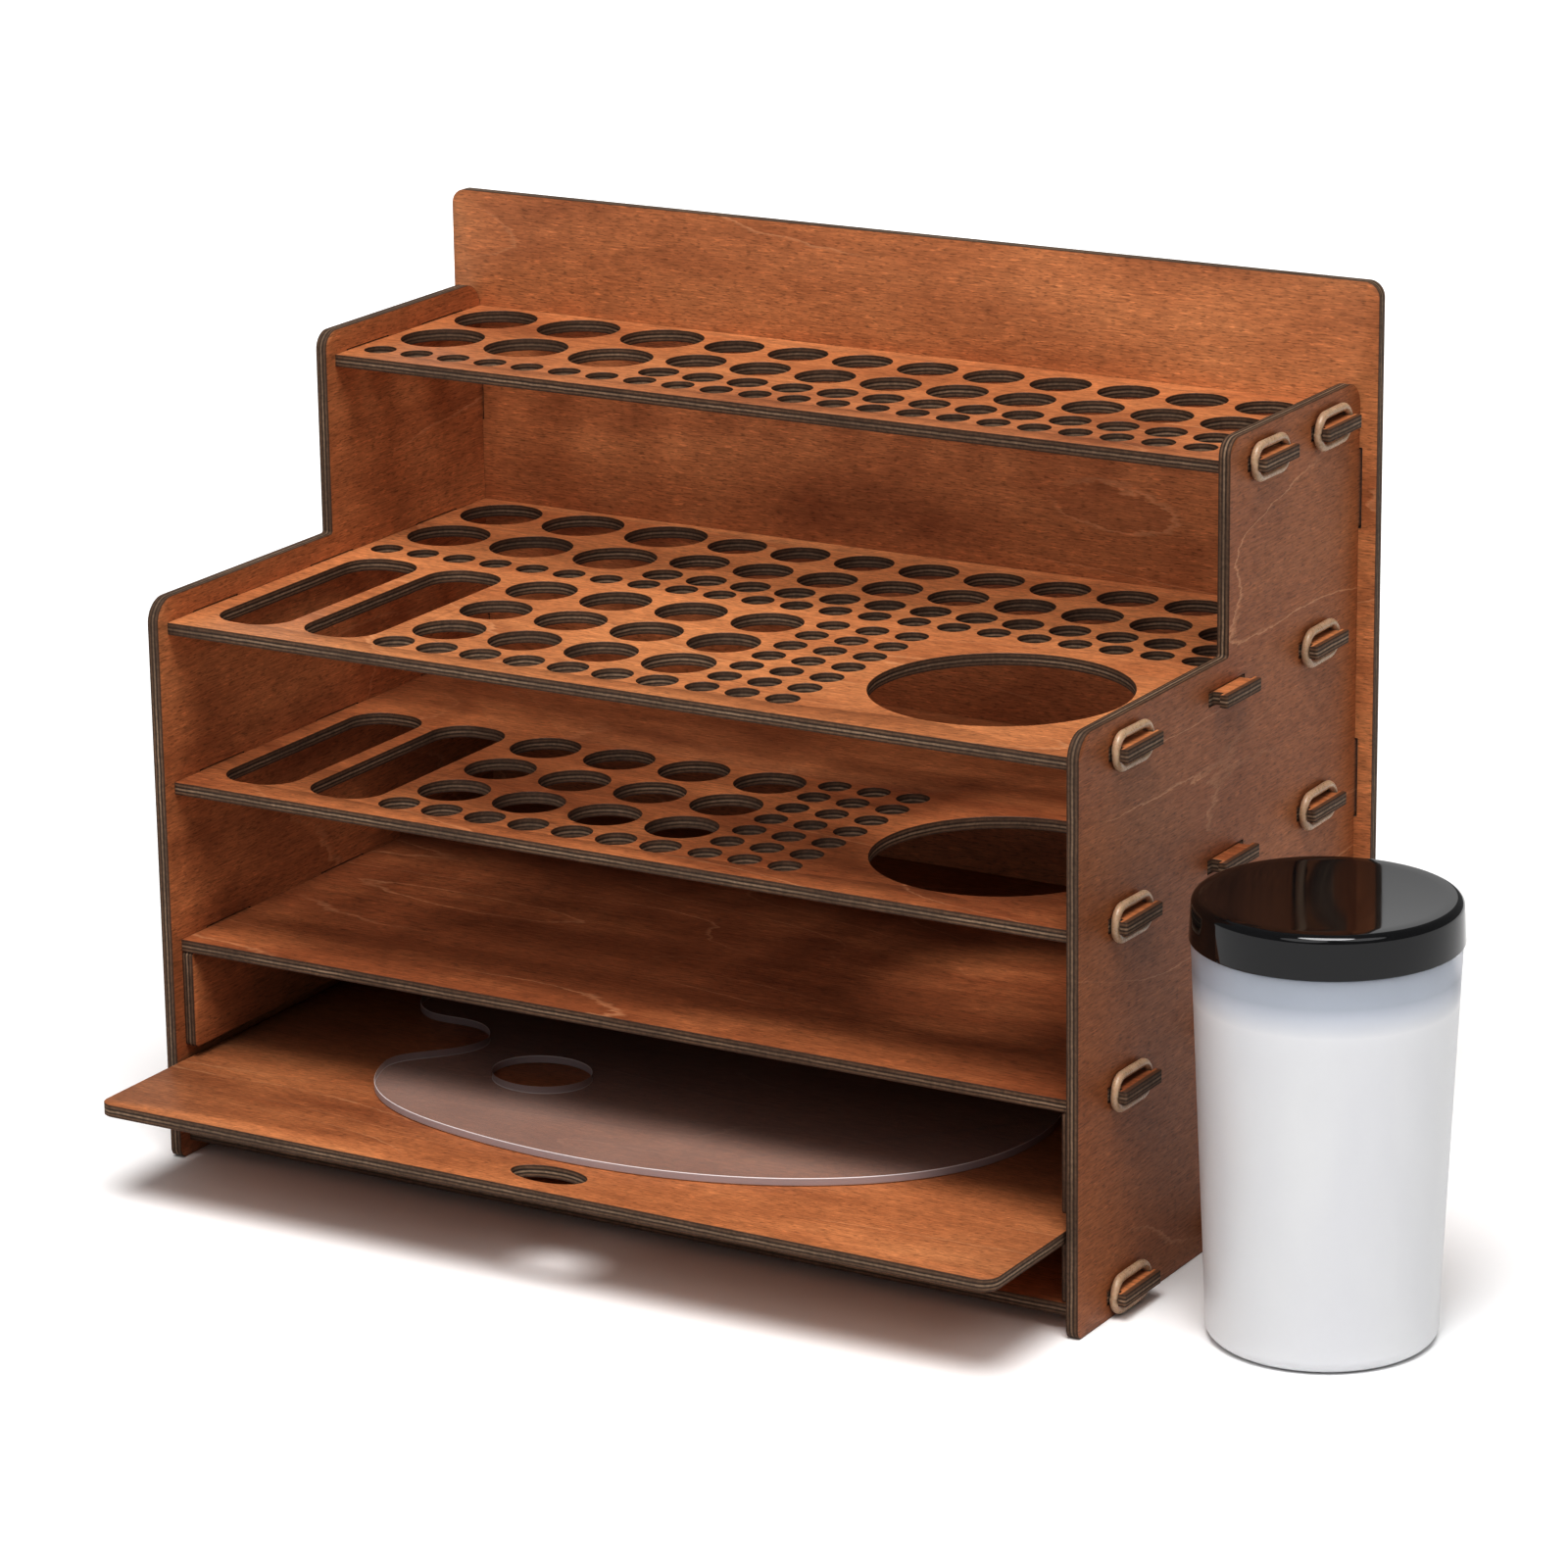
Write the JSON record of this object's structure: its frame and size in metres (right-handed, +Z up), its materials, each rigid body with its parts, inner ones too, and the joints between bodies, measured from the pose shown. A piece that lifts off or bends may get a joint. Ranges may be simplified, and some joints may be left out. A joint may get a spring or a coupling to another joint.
{
  "type": "hobby workstation organizer",
  "caption": "Stepped plywood desk organizer with perforated racks for paint pots, bottles and brushes, a pull-out tray with a palette, and a lidded jar.",
  "frame": {"origin": "middle of the back panel's bottom edge face, which stands on the table", "axes": "+X to the right along the width, +Y to the back, +Z up; the open, stepped front faces -Y"},
  "size_m": [0.4363, 0.236, 0.284],
  "materials": {
    "stained_plywood": "stained birch plywood, matte, with dark laser-cut edges",
    "band_rubber": "satin tan rubber",
    "palette_acrylic": "frosted clear acrylic",
    "jar_polypropylene": "frosted translucent polypropylene",
    "lid_plastic": "polished black plastic"
  },
  "bodies": {
    "rack": {"back_panel": "stained_plywood", "side_panel_left": "stained_plywood", "side_panel_right": "stained_plywood", "shelf_1": "stained_plywood", "shelf_2": "stained_plywood", "shelf_3": "stained_plywood", "shelf_4": "stained_plywood", "bottom_shelf": "stained_plywood", "upper_rail_left": "stained_plywood", "upper_rail_right": "stained_plywood", "lower_rail_left": "stained_plywood", "lower_rail_right": "stained_plywood", "band_shelf_1_rear_left": "band_rubber", "band_shelf_1_rear_right": "band_rubber", "band_shelf_1_front_left": "band_rubber", "band_shelf_1_front_right": "band_rubber", "band_shelf_2_rear_left": "band_rubber", "band_shelf_2_rear_right": "band_rubber", "band_shelf_2_front_left": "band_rubber", "band_shelf_2_front_right": "band_rubber", "band_shelf_3_rear_left": "band_rubber", "band_shelf_3_rear_right": "band_rubber", "band_shelf_3_front_left": "band_rubber", "band_shelf_3_front_right": "band_rubber", "band_shelf_4_rear_left": "band_rubber", "band_shelf_4_rear_right": "band_rubber", "band_shelf_4_front_left": "band_rubber", "band_shelf_4_front_right": "band_rubber", "band_bottom_shelf_rear_left": "band_rubber", "band_bottom_shelf_rear_right": "band_rubber", "band_bottom_shelf_front_left": "band_rubber", "band_bottom_shelf_front_right": "band_rubber"},
    "tray": {"sliding_tray": "stained_plywood"},
    "palette": {"palette": "palette_acrylic"},
    "jar": {"jar": "jar_polypropylene"},
    "lid": {"jar_lid": "lid_plastic"}
  },
  "joints": [
    {"name": "tray_slide", "type": "slide", "parent": "rack", "child": "tray", "axis": [0, -1, 0], "range_m": [-0.044, 0.09]},
    {"name": "palette_slide", "type": "slide", "parent": "tray", "child": "palette", "axis": [0, -1, 0], "range_m": [0, 0.16]},
    {"name": "jar_lift", "type": "slide", "parent": "rack", "child": "jar", "axis": [0, 0, 1], "range_m": [0, 0.2]},
    {"name": "lid_lift", "type": "slide", "parent": "jar", "child": "lid", "axis": [0, 0, 1], "range_m": [0, 0.04]}
  ]
}
